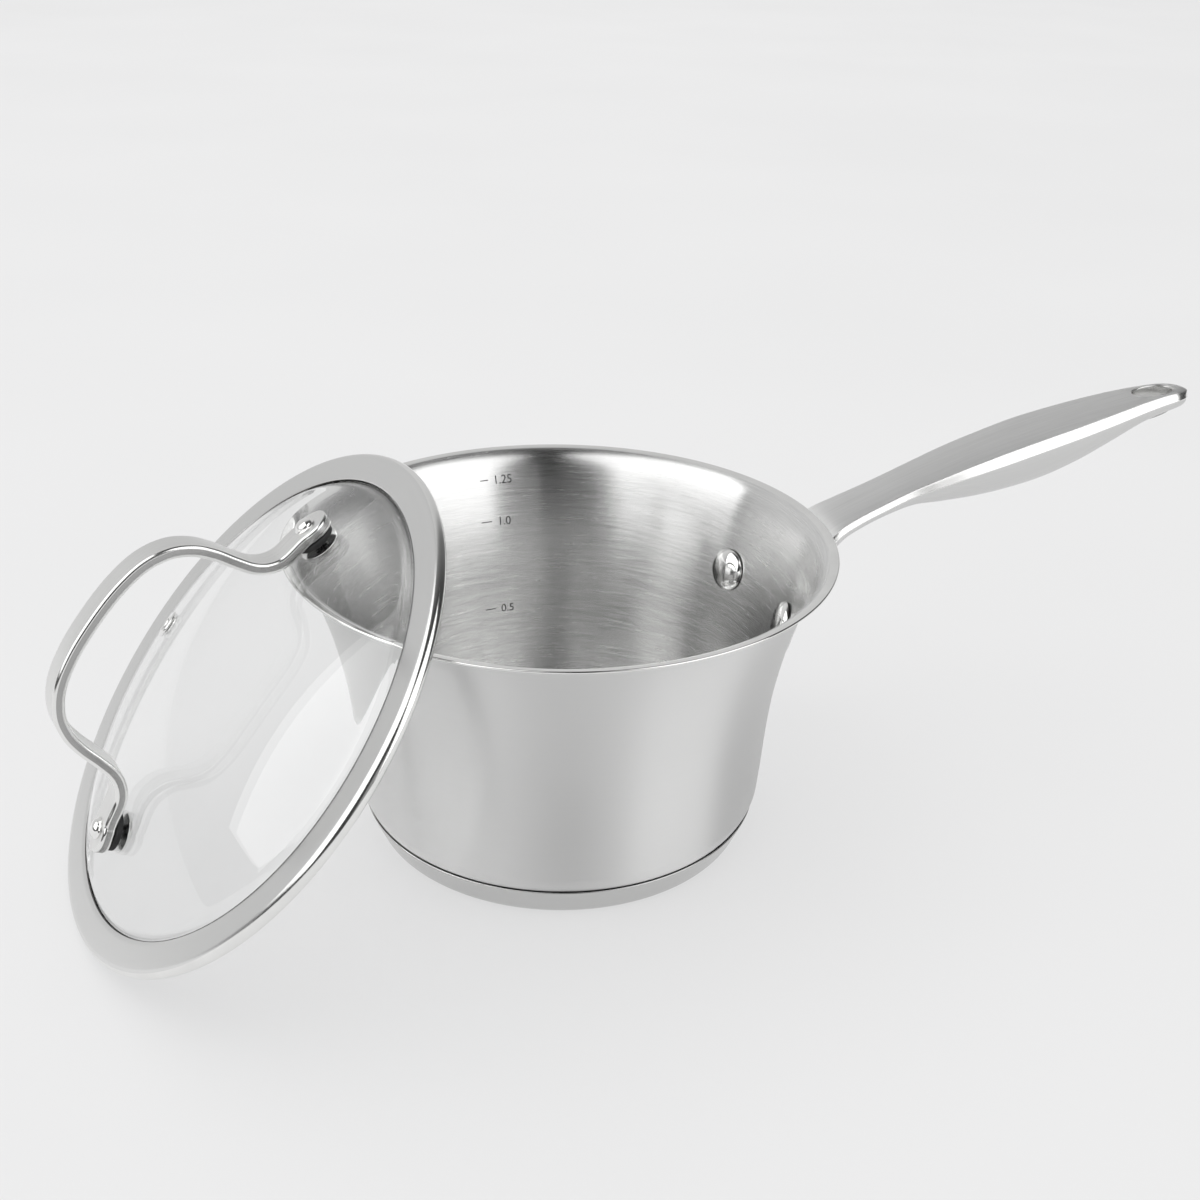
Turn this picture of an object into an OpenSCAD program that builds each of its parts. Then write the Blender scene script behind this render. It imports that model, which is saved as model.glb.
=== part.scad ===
// Saucepan with a glass lid leaning on its rim.
// Millimetres, +Z up. Origin: centre of the underside of the base, handle along +X.

/* [Pan] */
// outside radius of the flared lip
lip_r = 87; // [70:0.5:110]
// height of the top of the lip above the table
pan_h = 99.5; // [80:0.5:130]
// thickness of the drawn steel sheet
wall_t = 0.8; // [0.6:0.1:1.2]
// thickness of base below the drawn shell
base_t = 5.8; // [3:0.1:8]
// thickness of the steel cap around the base
cap_t = 0.5; // [0.4:0.1:1]
// radius of the flat underside
base_flat_r = 57.7; // [40:0.1:70]

/* [Handle] */
// thickness of the saddle plate riveted to the wall
saddle_t = 2.2; // [1.5:0.1:4]
// half the width of the saddle plate
saddle_half_w = 30; // [24:0.5:34]
// height of the saddle plate
saddle_h = 24; // [18:0.5:30]
// height of the two pan rivets above the table
rivet_z = 70; // [60:0.5:76]
// angle from the handle line to each pan rivet
rivet_a = 17.5; // [12:0.5:20]
// sheet thickness of the two handle shells
shell_t = 1.3; // [0.8:0.1:2]
// distance of the hanging hole from the pan axis
hang_x = 219; // [210:0.5:222]
// half length of the hanging hole
hang_l = 7.6; // [5:0.1:9]
// half width of the hanging hole
hang_w = 4.6; // [3:0.1:5.5]

/* [Lid] */
// radius of the rolled edge of the band, to its middle
roll_r = 83.2; // [75:0.1:95]
// radius of the roll itself
roll_t = 2.2; // [1.5:0.1:3]
// thickness of the glass
glass_t = 4; // [3:0.1:5]
// height of the dome inside, above the middle of the rolled edge
dome_h = 13.9; // [8:0.1:25]
// distance from the lid centre to each handle stud
stud_r = 52; // [35:0.5:60]
// width of the lid handle strap
strap_w = 10.5; // [8:0.5:14]
// thickness of the lid handle strap
strap_t = 3.6; // [2:0.1:4]

/* [Lean] */
// how far the lid axis is raised from horizontal
lean_el = 41.2; // [30:0.1:60]
// direction the lid axis faces, from the handle line
lean_az = 186; // [170:0.5:200]
// level distance from the pan axis to the lid centre
lean_reach = 104.5; // [100:0.1:120]
// turn of the lid about its own axis
lid_turn = 5.9; // [-30:0.1:30]

/* [Hidden] */
$fn = 96;
steel = [0.78, 0.78, 0.77];
polished = [0.88, 0.88, 0.88];

corner_r = 12;
corner_c = [54.9, base_t + corner_r];
lid_z = roll_r * cos(lean_el) + roll_t;
stud_slope = 2 * dome_k() * stud_r;
vent_r = 54;
shank_r = 2.3;
hole_r = shank_r + 0.03;
gasket_t = 1.8;

// ---- curve helpers -------------------------------------------------------
function unit(v) = v / norm(v);
function pick(p, i) = p[max(0, min(len(p) - 1, i))];
function cr(a, b, c, d, t) =
    0.5 * (2 * b + (c - a) * t + (2 * a - 5 * b + 4 * c - d) * t * t
           + (3 * b - a - 3 * c + d) * t * t * t);
// points of a smooth curve through p, n steps between neighbours
function smooth(p, n) = concat(
    [for (i = [0 : len(p) - 2]) for (k = [0 : n - 1])
        cr(pick(p, i - 1), p[i], p[i + 1], pick(p, i + 2), k / n)],
    [p[len(p) - 1]]);
function left_of(p, i) =
    let (d = unit(pick(p, i + 1) - pick(p, i - 1))) [-d[1], d[0]];
function shifted(p, d) = [for (i = [0 : len(p) - 1]) p[i] + d * left_of(p, i)];
function reversed(p) = [for (i = [len(p) - 1 : -1 : 0]) p[i]];
function band_of(p, d) = concat(p, reversed(shifted(p, d)));
function arc(c, r, a0, a1, n) =
    [for (i = [0 : n]) let (a = a0 + (a1 - a0) * i / n) c + r * [cos(a), sin(a)]];
function at(p, x, i = 0) =
    x >= p[i + 1][0] && i < len(p) - 2 ? at(p, x, i + 1)
    : p[i] + (p[i + 1] - p[i]) * (x - p[i][0]) / (p[i + 1][0] - p[i][0]);

// ---- pan -----------------------------------------------------------------
top = pan_h - wall_t;
wall = smooth([[66.85, 17], [67.5, 25], [68.1, 35], [68.9, 45], [70.1, 55], [71.9, 65],
               [74.2, 75], [77.2, 85], [79.8, 92], [81.9, 96], [84.1, top - 0.6], [lip_r, top]], 4);
shell_out = concat([[0, base_t]], arc(corner_c, corner_r, -90, -5, 12), wall);
wall_zr = [for (q = wall) if (q[1] < top - 0.5) [q[1], q[0]]];
function wall_r(z) = at(wall_zr, z)[1];
wall_tilt = atan((wall_r(rivet_z + 2) - wall_r(rivet_z - 2)) / 4);

module pan_body() color(steel)
    difference() {
        rotate_extrude() polygon(band_of(shell_out, wall_t));
        for (s = [-1, 1]) at_rivet(s) cylinder(r = hole_r, h = 12, center = true);
    }

cap_wall_a = 23.3;
cap_top = 10.9;
cap_bend = arc([base_flat_r, 5], 5, -90, -cap_wall_a, 8);
cap_end = cap_bend[8] + (cap_top - cap_bend[8][1]) * [tan(cap_wall_a), 1];
cap_out = concat([[0, 0]], cap_bend, [cap_end]);
cap_in = shifted(cap_out, cap_t);

module base_cap() color(steel)
    rotate_extrude() polygon(concat(cap_out, reversed(cap_in)));

module base_core() color([0.7, 0.71, 0.72])
    rotate_extrude() polygon(concat(
        [for (q = shifted(cap_in, 0.03)) if (q[1] < 9.6) q],
        [for (q = reversed(shifted(shell_out, -0.03))) if (q[1] < 9.4) q]));

// ---- pan handle ----------------------------------------------------------
// x along the handle, height of the top face, half width, side height, belly depth, squareness
grip = smooth([[66, 68.5, 19, 1.9, 3, 5], [73, 75.6, 18, 1.9, 3, 5],
               [79, 82, 15.8, 1.9, 2.8, 5], [85, 88.6, 13.4, 1.9, 2.5, 5],
               [92, 94.8, 11.8, 1.9, 2.4, 5], [100, 98.4, 10.7, 1.9, 2.4, 4.5],
               [110, 102, 10.1, 1.9, 2.7, 4], [120, 105.6, 10, 2, 4.6, 3],
               [130, 108.9, 10.8, 2.5, 8.2, 2.4], [142, 112.7, 11.8, 3.1, 11.4, 2.2],
               [156, 116.6, 12.5, 3.5, 13.5, 2.1], [170, 120.1, 12.8, 3.5, 14.2, 2.1],
               [184, 123, 12.2, 3.4, 12.6, 2.1], [198, 125.7, 10.9, 3.2, 9.2, 2.2],
               [210, 127.8, 9.3, 3, 6.2, 2.4], [219, 129, 7.9, 2.8, 4.6, 2.6],
               [225, 129.5, 7, 2.6, 4, 2.8], [229, 129.5, 5.7, 2.4, 3.5, 2.8],
               [231.3, 129.4, 4, 2.2, 3.1, 2.8], [232.4, 129.2, 2.2, 2, 2.6, 2.8]], 2);
crown = 0.9;

// points of one cross-section: y across, then up or down from the top edge line
function crown_at(u, w) = crown * min(1, w / 10) * (1 - pow(abs(u), 2.6)) - 0.5 * pow(abs(u), 8);
function top_section(g, m) =
    let (w = g[2], s = g[3], t = min(shell_t, s * 0.6, w * 0.45), wi = w - t)
    concat([[-w + 0.3, -s]],
           [for (i = [0 : m]) let (u = 2 * i / m - 1) [w * u, crown_at(u, w)]],
           [[w - 0.3, -s], [wi, -s]],
           [for (i = [0 : m]) let (u = 1 - 2 * i / m) [wi * u, crown_at(u, w) - t]],
           [[-wi, -s]]);
function belly_at(u, n) = pow(max(0, 1 - pow(abs(u), n)), 1 / n);
function bottom_section(g, m) =
    let (w = g[2] - 0.3, s = g[3], b = g[4], n = g[5],
         t = min(shell_t, b * 0.55, w * 0.45))
    concat([for (i = [0 : m]) let (a = 180 * i / m, u = cos(a))
                [w * u, -s - b * belly_at(u, n)]],
           [for (i = [0 : m]) let (a = 180 - 180 * i / m, u = cos(a))
                [(w - t) * u, -s - (b - t) * belly_at(u, n)]]);

function place(g, i, q) =
    let (a = pick(grip, i - 1), c = pick(grip, i + 1), d = unit([c[0] - a[0], c[1] - a[1]]))
    [g[0] - d[1] * q[1], q[0], g[1] + d[0] * q[1]];

// closed tube of rings: in each, the first half of the points runs along one face of the
// sheet and the second half comes back along the other
module skin(rings) {
    n = len(rings[0]);
    end = (len(rings) - 1) * n;
    polyhedron(
        [for (r = rings) for (q = r) q],
        concat([for (k = [0 : n / 2 - 2]) for (f = [[k, n - 2 - k, k + 1], [k, n - 1 - k, n - 2 - k]]) f],
               [for (k = [0 : n / 2 - 2]) for (f = [[k, k + 1, n - 2 - k], [k, n - 2 - k, n - 1 - k]])
                   [for (v = f) end + v]],
               [for (i = [0 : len(rings) - 2]) for (k = [0 : n - 1])
                   let (k2 = (k + 1) % n, a = i * n, b = a + n)
                   for (f = [[a + k, a + k2, b + k2], [a + k, b + k2, b + k]]) f]),
        convexity = 8);
}

// solid inside the outer face of the saddle, for trimming what meets it
module inside_saddle(extra = 0)
    rotate_extrude() polygon(concat([[0, 40]],
        [for (q = shifted(wall, -saddle_t - extra)) if (q[1] > 40 && q[1] < 93) q], [[0, 93]]));

// outline of the hanging hole, grown all round by extra
function oval(extra) =
    [for (i = [0 : 47]) let (a = 360 * i / 48) [(hang_l + extra) * cos(a), (hang_w + extra) * sin(a)]];

module hang_cut(extra = 0)
    translate([hang_x, 0, 100]) linear_extrude(height = 60) polygon(oval(extra));

module handle_top() color(steel)
    difference() {
        skin([for (i = [0 : len(grip) - 1])
            [for (q = top_section(grip[i], 16)) place(grip[i], i, q)]]);
        inside_saddle(0.02);
        hang_cut(0.62);
    }

module handle_bottom() color(steel)
    difference() {
        skin([for (i = [0 : len(grip) - 1])
            [for (q = bottom_section(grip[i], 18)) place(grip[i], i, q)]]);
        inside_saddle(0.02);
        hang_cut(0.62);
    }

// oval tube that lines the hanging hole, its ends cut to the slopes of the two shells
module hang_sleeve() color(polished)
    difference() {
        translate([hang_x, 0, 115]) linear_extrude(height = 20) polygon(oval(0.6));
        hang_cut();
        translate([hang_x, 0, 129.4]) rotate([0, -5, 0]) translate([-30, -30, 0]) cube([60, 60, 30]);
        translate([hang_x, 0, 121.9]) rotate([0, -14, 0]) translate([-30, -30, -30]) cube([60, 60, 30]);
    }

module saddle_outline()
    translate([50, 0, rivet_z]) rotate([0, 90, 0]) {
        translate([-saddle_h / 2, -saddle_half_w + saddle_h / 2, 0])
            cube([saddle_h, 2 * saddle_half_w - saddle_h, 60]);
        for (s = [-1, 1]) translate([0, s * (saddle_half_w - saddle_h / 2), 0])
            cylinder(d = saddle_h, h = 60);
    }

module handle_saddle() color(steel)
    difference() {
        intersection() {
            rotate_extrude() polygon(concat(
                [for (q = shifted(wall, -0.03)) if (q[1] > 50 && q[1] < 91) q],
                reversed([for (q = shifted(wall, -saddle_t)) if (q[1] > 50 && q[1] < 91) q])));
            saddle_outline();
        }
        for (s = [-1, 1]) at_rivet(s) cylinder(r = hole_r, h = 20, center = true);
    }

// frame of a pan rivet: origin on the outside of the wall, +Z outward
module at_rivet(s)
    rotate([0, 0, s * rivet_a]) translate([wall_r(rivet_z), 0, rivet_z])
        rotate([0, 90 + wall_tilt, 0]) children();

rivet_head_r = 7.2;
rivet_head_h = 2.9;
head_gap = 0.45;
tail_gap = 0.02;

module pan_rivet(s) color(polished) at_rivet(s) {
    translate([0, 0, -wall_t - head_gap]) mirror([0, 0, 1]) rotate_extrude()
        polygon(concat([[0, 0]],
            [for (i = [0 : 12]) let (a = 90 * i / 12)
                [rivet_head_r * cos(a), rivet_head_h * sin(a)]]));
    translate([0, 0, -wall_t - head_gap]) cylinder(r = shank_r, h = wall_t + head_gap + saddle_t);
    translate([0, 0, saddle_t + tail_gap]) rotate_extrude()
        polygon(concat([[0, -tail_gap]], [[shank_r, -tail_gap], [shank_r, 0]],
            [for (i = [0 : 8]) let (a = 90 * i / 8) [4.2 * cos(a), 1.6 * sin(a)]]));
}

module pan_rivet_left() pan_rivet(1);
module pan_rivet_right() pan_rivet(-1);

// ---- lid -----------------------------------------------------------------
module leaning()
    translate([lean_reach * cos(lean_az), lean_reach * sin(lean_az), lid_z])
        rotate([0, 90 - lean_el, lean_az]) rotate([0, 0, lid_turn]) children();

function dome_k() = 0.0027;
function inner_h(r) = dome_h - dome_k() * r * r;
function outer_h(r) = inner_h(r) + glass_t;
edge_r = 77.6;
flange_z = -2.2;
flange_top = 1.35;
glass_profile = concat(
    [for (i = [0 : 14]) let (r = 72 * i / 14) [r, outer_h(r)]],
    smooth([[73.3, outer_h(73.3) - 0.35], [74.2, 2.1], [74.9, flange_top]], 3),
    [[edge_r - 0.5, flange_top], [edge_r, flange_top - 0.5],
     [edge_r, flange_z + 0.5], [edge_r - 0.5, flange_z]],
    [for (i = [14 : -1 : 0]) let (r = 76.8 * i / 14) [r, inner_h(r)]]);

// frame of a fitting on the dome: origin on the outside of the glass, +Z out of the glass
module on_dome(r, a)
    rotate([0, 0, a]) translate([r, 0, outer_h(r)])
        rotate([0, atan(2 * dome_k() * r), 0]) children();

module lid_glass() color([0.85, 0.9, 0.9, 0.35]) leaning()
    difference() {
        rotate_extrude() polygon(glass_profile);
        for (a = [0, 180]) on_dome(stud_r, a) cylinder(r = hole_r, h = 20, center = true);
        on_dome(vent_r, -90) cylinder(r = 3.03, h = 20, center = true);
    }

module lid_band() color(steel) leaning()
    rotate_extrude() polygon(concat(
        [[75.2, 1.4], [edge_r, 1.4], [edge_r, 1.6]],
        arc([roll_r, 0], roll_t - 0.6, 90, -90, 10),
        [[78.2, -1.6], [78.2, flange_z], [74.8, flange_z], [74.8, flange_z - 0.6],
         [77.4, flange_z - 0.6], [77.8, -3.2], [77.8, -5.2], [78.1, -5.6], [78.7, -5.6],
         [79, -5.2], [79, -2.6], [79.3, -2.2]],
        arc([roll_r, 0], roll_t, -90, 90, 14),
        [[76.4, roll_t], [75.2, 1.9]]));

foot_dir = atan(stud_slope);
foot_out = 1.4;
foot_mid = [stud_r, outer_h(stud_r)] + (gasket_t + strap_t / 2) * [sin(foot_dir), cos(foot_dir)];
strap_half = concat(
    [foot_mid, foot_mid + 4.4 * [-cos(foot_dir), sin(foot_dir)]],
    [[42.2, 16.6], [38.2, 19.4], [35.7, 23.6], [34.4, 29.4], [33.4, 35.6], [31.4, 41.6],
     [27.4, 47], [20.5, 51.2], [11, 53.4], [0, 54]]);
strap_path = smooth(concat(strap_half,
    [for (i = [len(strap_half) - 2 : -1 : 0]) [-strap_half[i][0], strap_half[i][1]]]), 4);

module lid_strap() color(steel) leaning()
    difference() {
        union() {
            rotate([90, 0, 0]) linear_extrude(height = strap_w, center = true)
                polygon(concat(shifted(strap_path, strap_t / 2),
                               reversed(shifted(strap_path, -strap_t / 2))));
            for (a = [0, 180]) on_dome(stud_r, a) for (x = [0, foot_out])
                translate([x, 0, gasket_t]) cylinder(d = strap_w + 1, h = strap_t);
        }
        for (a = [0, 180]) on_dome(stud_r, a) {
            cylinder(r = hole_r, h = 30, center = true);
            translate([0, 0, gasket_t - 6]) cylinder(r = 9, h = 6);
        }
    }

module lid_gasket(a) color([0.08, 0.08, 0.08]) leaning() on_dome(stud_r, a)
    difference() {
        cylinder(r = 6, h = gasket_t);
        cylinder(r = hole_r, h = 10, center = true);
    }
module lid_gasket_low() lid_gasket(0);
module lid_gasket_high() lid_gasket(180);

module lid_washer(a) color(polished) leaning() on_dome(stud_r, a)
    translate([0, 0, -glass_t - 0.12 - 1.2])
        difference() {
            cylinder(r1 = 5.4, r2 = 6.4, h = 1.2);
            cylinder(r = hole_r, h = 10, center = true);
        }
module lid_washer_low() lid_washer(0);
module lid_washer_high() lid_washer(180);

stud_top = gasket_t + strap_t;
stud_foot = glass_t + 0.12 + 1.2;
module lid_stud(a) color(polished) leaning() on_dome(stud_r, a)
    rotate_extrude() polygon(concat(
        [[0, -stud_foot - 1.3], [2.4, -stud_foot - 1.2], [3.4, -stud_foot - 0.7],
         [3.6, -stud_foot], [shank_r, -stud_foot], [shank_r, stud_top], [3.3, stud_top],
         [3.3, stud_top + 0.5], [2.7, stud_top + 0.7]],
        [for (i = [1 : 8]) let (t = 90 * i / 8) [2.7 * cos(t), stud_top + 0.7 + 1.5 * sin(t)]]));
module lid_stud_low() lid_stud(0);
module lid_stud_high() lid_stud(180);

module vent_eyelet() color(polished) leaning() on_dome(vent_r, -90)
    rotate_extrude() polygon([
        [2.3, -glass_t - 0.7], [3.4, -glass_t - 0.7], [4, -glass_t - 0.3], [3.9, -glass_t - 0.1],
        [3, -glass_t - 0.05], [3, 0], [4.3, 0], [4.5, 0.3], [4.1, 0.8], [3.3, 0.95],
        [2.6, 0.6], [2.3, 0]]);

pan_body();
base_core();
base_cap();
handle_saddle();
handle_top();
handle_bottom();
hang_sleeve();
pan_rivet_left();
pan_rivet_right();
lid_glass();
lid_band();
lid_strap();
lid_gasket_low();
lid_gasket_high();
lid_washer_low();
lid_washer_high();
lid_stud_low();
lid_stud_high();
vent_eyelet();
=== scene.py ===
"""Saucepan with a glass lid leaning on its rim: the looks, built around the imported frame."""
import math

import bmesh
import bpy
import numpy as np
from mathutils import Matrix, Vector


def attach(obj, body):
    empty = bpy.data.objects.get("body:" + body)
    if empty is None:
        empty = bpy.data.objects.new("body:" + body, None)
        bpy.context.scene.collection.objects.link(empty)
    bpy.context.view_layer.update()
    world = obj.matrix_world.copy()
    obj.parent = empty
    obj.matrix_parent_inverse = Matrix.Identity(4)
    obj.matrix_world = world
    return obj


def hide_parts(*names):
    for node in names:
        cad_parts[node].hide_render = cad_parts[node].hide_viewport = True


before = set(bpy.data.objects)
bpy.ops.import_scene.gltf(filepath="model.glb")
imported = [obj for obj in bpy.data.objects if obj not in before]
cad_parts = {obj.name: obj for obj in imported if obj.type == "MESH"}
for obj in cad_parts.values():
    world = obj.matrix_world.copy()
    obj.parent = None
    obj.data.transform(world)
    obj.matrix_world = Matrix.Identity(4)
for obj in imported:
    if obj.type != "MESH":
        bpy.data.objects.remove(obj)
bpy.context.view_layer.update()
MM = 0.001
AROUND, SMALL_AROUND = 320, 96    # sides of the large and the small round pieces


# ---- curves, all in millimetres -----------------------------------------------------------
def smooth(points, n):
    """Catmull-Rom curve through the points, n steps between neighbours."""
    p = np.array(points, float)
    out = []
    for i in range(len(p) - 1):
        a, b, c, d = p[max(i - 1, 0)], p[i], p[i + 1], p[min(i + 2, len(p) - 1)]
        for k in range(n):
            t = k / n
            out.append(0.5 * (2 * b + (c - a) * t + (2 * a - 5 * b + 4 * c - d) * t * t
                              + (3 * b - a - 3 * c + d) * t ** 3))
    out.append(p[-1])
    return np.array(out)


def normals_2d(p):
    """Left-hand unit normals of an open polyline."""
    d = np.gradient(p, axis=0)
    d /= np.linalg.norm(d, axis=1)[:, None]
    return np.stack([-d[:, 1], d[:, 0]], axis=1)


def arc(cx, cz, r, a0, a1, n):
    a = np.radians(np.linspace(a0, a1, n + 1))
    return np.stack([cx + r * np.cos(a), cz + r * np.sin(a)], axis=1)


def rounded(corners, n=6):
    """Closed outline from (x, z, corner radius) points, each corner turned into an arc."""
    out = []
    m = len(corners)
    for i, (x, z, r) in enumerate(corners):
        p = np.array([x, z], float)
        if r <= 0:
            out.append(p)
            continue
        a = np.array(corners[i - 1][:2], float) - p
        b = np.array(corners[(i + 1) % m][:2], float) - p
        la, lb = np.linalg.norm(a), np.linalg.norm(b)
        a, b = a / la, b / lb
        half = math.acos(max(-1, min(1, float(a @ b)))) / 2
        cut = min(r / math.tan(half), la * 0.48, lb * 0.48)
        r = cut * math.tan(half)
        c = p + (a + b) / np.linalg.norm(a + b) * (r / math.sin(half))
        s, e = p + a * cut - c, p + b * cut - c
        t0, t1 = math.atan2(s[1], s[0]), math.atan2(e[1], e[0])
        turn = (t1 - t0 + math.pi) % (2 * math.pi) - math.pi
        out += [c + r * np.array([math.cos(t0 + turn * k / n), math.sin(t0 + turn * k / n)])
                for k in range(n + 1)]
    return np.array(out)


# ---- meshes -------------------------------------------------------------------------------
def surface(name, grid, coat, loop_i=False, loop_j=False, skip=None):
    """Quad mesh over grid[i][j] (mm). The lines of constant j run along the metal's grain, and
    coat[i][j] is the seamless coordinate that the grain textures read (metres or turns)."""
    ni, nj = grid.shape[:2]
    ci, cj = ni if loop_i else ni - 1, nj if loop_j else nj - 1
    faces, uvs = [], []
    for i in range(ci):
        for j in range(cj):
            if skip is not None and skip(i, j):
                continue
            i2, j2 = (i + 1) % ni, (j + 1) % nj
            faces.append((i * nj + j, i2 * nj + j, i2 * nj + j2, i * nj + j2))
            uvs += [(i / ci, j / cj), ((i + 1) / ci, j / cj),
                    ((i + 1) / ci, (j + 1) / cj), (i / ci, (j + 1) / cj)]
    mesh = bpy.data.meshes.new(name)
    mesh.from_pydata((grid.reshape(-1, 3) * MM).tolist(), [], faces)
    layer = mesh.uv_layers.new(name="grain")
    layer.data.foreach_set("uv", np.array(uvs, np.float32).ravel())
    attribute = mesh.attributes.new("coat", "FLOAT_VECTOR", "POINT")
    attribute.data.foreach_set("vector", coat.reshape(-1, 3).astype(np.float32).ravel())
    return mesh


def finish_mesh(mesh, weld=2e-6):
    """Welds poles and seams, points every face outward and shades it smooth."""
    bm = bmesh.new()
    bm.from_mesh(mesh)
    bmesh.ops.remove_doubles(bm, verts=bm.verts, dist=weld)
    bmesh.ops.dissolve_degenerate(bm, edges=bm.edges, dist=1e-7)
    bmesh.ops.recalc_face_normals(bm, faces=bm.faces)
    bm.to_mesh(mesh)
    bm.free()
    mesh.polygons.foreach_set("use_smooth", [True] * len(mesh.polygons))
    mesh.update()
    return mesh


def piece(name, mesh, body, materials, nodes=(), place=None):
    """Makes an object of a mesh, in the row frame, riding on a body."""
    if place is not None:
        mesh.transform(place)
    ob = bpy.data.objects.new(name, mesh)
    bpy.context.scene.collection.objects.link(ob)
    for m in materials:
        mesh.materials.append(m)
    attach(ob, body)
    if nodes:
        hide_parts(*nodes)
    return ob


def lathe(name, outline, around=256, closed=True):
    """Body of revolution of an outline of (radius, height). A closed outline makes a ring."""
    p = np.array(outline, float)
    a = np.linspace(0, 2 * math.pi, around, endpoint=False)
    grid = np.stack([np.outer(np.cos(a), p[:, 0]), np.outer(np.sin(a), p[:, 0]),
                     np.tile(p[:, 1], (around, 1))], axis=2)
    along = np.concatenate([[0], np.cumsum(np.linalg.norm(np.diff(p, axis=0), axis=1))]) * MM
    coat = np.stack([np.tile(np.cos(a)[:, None], (1, len(p))), np.tile(np.sin(a)[:, None], (1, len(p))),
                     np.tile(along, (around, 1))], axis=2)
    return surface(name, grid, coat, loop_i=True, loop_j=closed)


# ---- materials ----------------------------------------------------------------------------
def new_material(name):
    m = bpy.data.materials.new(name)
    m.use_nodes = True
    nt = m.node_tree
    nt.nodes.clear()
    out = nt.nodes.new("ShaderNodeOutputMaterial")
    bsdf = nt.nodes.new("ShaderNodeBsdfPrincipled")
    nt.links.new(bsdf.outputs["BSDF"], out.inputs["Surface"])
    return m, nt, bsdf


def noise_of(nt, coordinate, scale, detail=2.0, rough=0.55):
    """Noise over a coordinate stretched by scale, centred on 0.5."""
    mapping = nt.nodes.new("ShaderNodeMapping")
    mapping.inputs["Scale"].default_value = scale
    nt.links.new(coordinate, mapping.inputs["Vector"])
    noise = nt.nodes.new("ShaderNodeTexNoise")
    noise.inputs["Scale"].default_value = 1.0
    noise.inputs["Detail"].default_value = detail
    noise.inputs["Roughness"].default_value = rough
    nt.links.new(mapping.outputs["Vector"], noise.inputs["Vector"])
    return noise.outputs["Fac"]


def mix_of(nt, a, b, factor):
    node = nt.nodes.new("ShaderNodeMix")
    node.inputs["Factor"].default_value = factor
    nt.links.new(a, node.inputs["A"])
    nt.links.new(b, node.inputs["B"])
    return node.outputs["Result"]


def remap(nt, value, lo, hi, a=0.25, b=0.75):
    node = nt.nodes.new("ShaderNodeMapRange")
    node.inputs["From Min"].default_value = a
    node.inputs["From Max"].default_value = b
    node.inputs["To Min"].default_value = lo
    node.inputs["To Max"].default_value = hi
    nt.links.new(value, node.inputs["Value"])
    return node.outputs["Result"]


def colour_of(nt, value, dark, light, a=0.3, b=0.7):
    ramp = nt.nodes.new("ShaderNodeValToRGB")
    ramp.color_ramp.elements[0].position = a
    ramp.color_ramp.elements[1].position = b
    ramp.color_ramp.elements[0].color = (*dark, 1)
    ramp.color_ramp.elements[1].color = (*light, 1)
    nt.links.new(value, ramp.inputs["Fac"])
    return ramp.outputs["Color"]


def bump_of(nt, value, strength, distance):
    bump = nt.nodes.new("ShaderNodeBump")
    bump.inputs["Strength"].default_value = strength
    bump.inputs["Distance"].default_value = distance
    nt.links.new(value, bump.inputs["Height"])
    return bump.outputs["Normal"]


def coat_of(nt):
    node = nt.nodes.new("ShaderNodeAttribute")
    node.attribute_name = "coat"
    return node.outputs["Vector"]


def object_of(nt):
    return nt.nodes.new("ShaderNodeTexCoord").outputs["Object"]


def brushed(name, tone, roughness, spread, fine, coarse, anisotropic=0.7, bump=0.15,
            depth=2e-5, contrast=0.06, worn=0.4):
    """Brushed steel: fine scratches along the grain with broader uneven strokes in them."""
    m, nt, bsdf = new_material(name)
    coat = coat_of(nt)
    lines = noise_of(nt, coat, fine, 3.0, 0.6)
    strokes = noise_of(nt, coat, coarse, 2.0, 0.5)
    wear = noise_of(nt, object_of(nt), (38, 38, 38), 3.0, 0.6)
    both = mix_of(nt, lines, strokes, 0.4)
    light = tuple(min(1, c * (1 + contrast)) for c in tone)
    dark = tuple(c * (1 - contrast) for c in tone)
    nt.links.new(colour_of(nt, mix_of(nt, both, wear, 0.6 * worn), dark, light), bsdf.inputs["Base Color"])
    nt.links.new(remap(nt, mix_of(nt, both, wear, worn), roughness - spread, roughness + spread),
                 bsdf.inputs["Roughness"])
    nt.links.new(bump_of(nt, both, bump, depth), bsdf.inputs["Normal"])
    bsdf.inputs["Metallic"].default_value = 1.0
    bsdf.inputs["Anisotropic"].default_value = anisotropic
    bsdf.inputs["Anisotropic Rotation"].default_value = 0.25
    tangent = nt.nodes.new("ShaderNodeTangent")
    tangent.direction_type = "UV_MAP"
    tangent.uv_map = "grain"
    nt.links.new(tangent.outputs["Tangent"], bsdf.inputs["Tangent"])
    return m


def polished(name, tone, roughness=0.06, haze=0.03):
    """Polished steel with faint buffing haze and handling marks."""
    m, nt, bsdf = new_material(name)
    where = object_of(nt)
    haze_n = noise_of(nt, where, (90, 90, 90), 4.0, 0.6)
    marks = noise_of(nt, where, (900, 900, 900), 2.0, 0.5)
    light = tuple(min(1, c * 1.03) for c in tone)
    dark = tuple(c * 0.96 for c in tone)
    nt.links.new(colour_of(nt, haze_n, dark, light), bsdf.inputs["Base Color"])
    nt.links.new(remap(nt, mix_of(nt, haze_n, marks, 0.3), roughness, roughness + haze),
                 bsdf.inputs["Roughness"])
    nt.links.new(bump_of(nt, marks, 0.05, 1e-5), bsdf.inputs["Normal"])
    bsdf.inputs["Metallic"].default_value = 1.0
    return m


RINGS_FINE, RINGS_COARSE = (5.0, 5.0, 6500), (2.2, 2.2, 1800)
# how fast the grain changes: round the axis and up the wall, or along and across a bar
STROKES_FINE, STROKES_COARSE = (8, 8, 2600), (3.5, 3.5, 900)
ALONG_FINE, ALONG_COARSE = (55, 5200, 5200), (24, 1200, 1200)

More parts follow.
